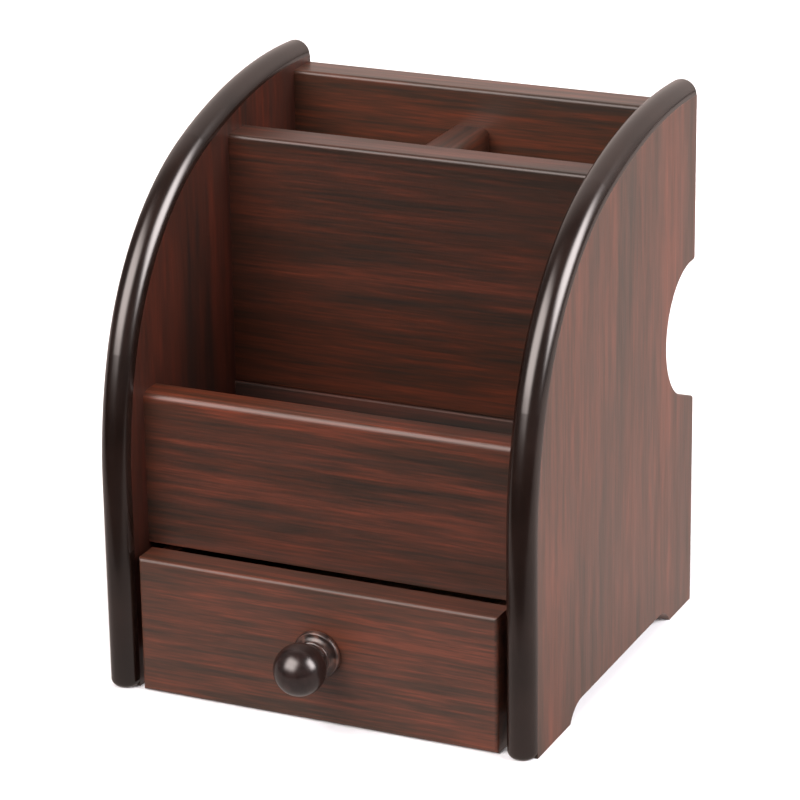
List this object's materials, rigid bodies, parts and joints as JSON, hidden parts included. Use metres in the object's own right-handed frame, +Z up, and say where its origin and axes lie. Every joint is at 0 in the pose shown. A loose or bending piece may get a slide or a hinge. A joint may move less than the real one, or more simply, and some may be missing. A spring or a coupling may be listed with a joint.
{
  "type": "desk organizer",
  "caption": "Wooden desk organizer with curved side panels, rear pen compartments, an open front compartment and a pull-out drawer with a ball knob.",
  "frame": {"origin": "middle of the bounding box on the surface that the feet stand on", "axes": "+X to the right as seen from the front, -Y to the front where the drawer and knob are, +Z up"},
  "size_m": [0.135, 0.1448, 0.1653],
  "materials": {
    "rosewood_upright": "satin rosewood foil with upright grain",
    "rosewood_level": "satin rosewood foil with level grain",
    "rosewood_drawer": "satin rosewood foil with level grain",
    "black_lacquer": "high gloss lacquer, near black",
    "knob_lacquer": "high gloss dark brown lacquer over turned wood",
    "drawer_board": "satin rosewood foil",
    "hardboard": "smooth brown hardboard",
    "beech": "plain turned beech",
    "zinc_steel": "zinc plated"
  },
  "bodies": {
    "carcass": {"side_panel_left": "rosewood_upright", "side_panel_right": "rosewood_upright", "edge_moulding_left": "black_lacquer", "edge_moulding_right": "black_lacquer", "back_panel": "rosewood_level", "middle_panel_upper": "rosewood_level", "middle_panel_lower": "rosewood_level", "pen_divider": "rosewood_level", "front_panel": "rosewood_level", "floor_board": "rosewood_level", "bottom_board": "hardboard", "carcass_dowels": "beech"},
    "drawer": {"drawer_front": "rosewood_drawer", "drawer_side_left": "drawer_board", "drawer_side_right": "drawer_board", "drawer_back": "drawer_board", "drawer_bottom": "hardboard", "drawer_knob": "knob_lacquer", "knob_screw": "zinc_steel", "drawer_dowels": "beech", "drawer_pins": "zinc_steel"}
  },
  "joints": [
    {"name": "drawer_slide", "type": "slide", "parent": "carcass", "child": "drawer", "axis": [0, -1, 0], "range_m": [0, 0.085]}
  ]
}
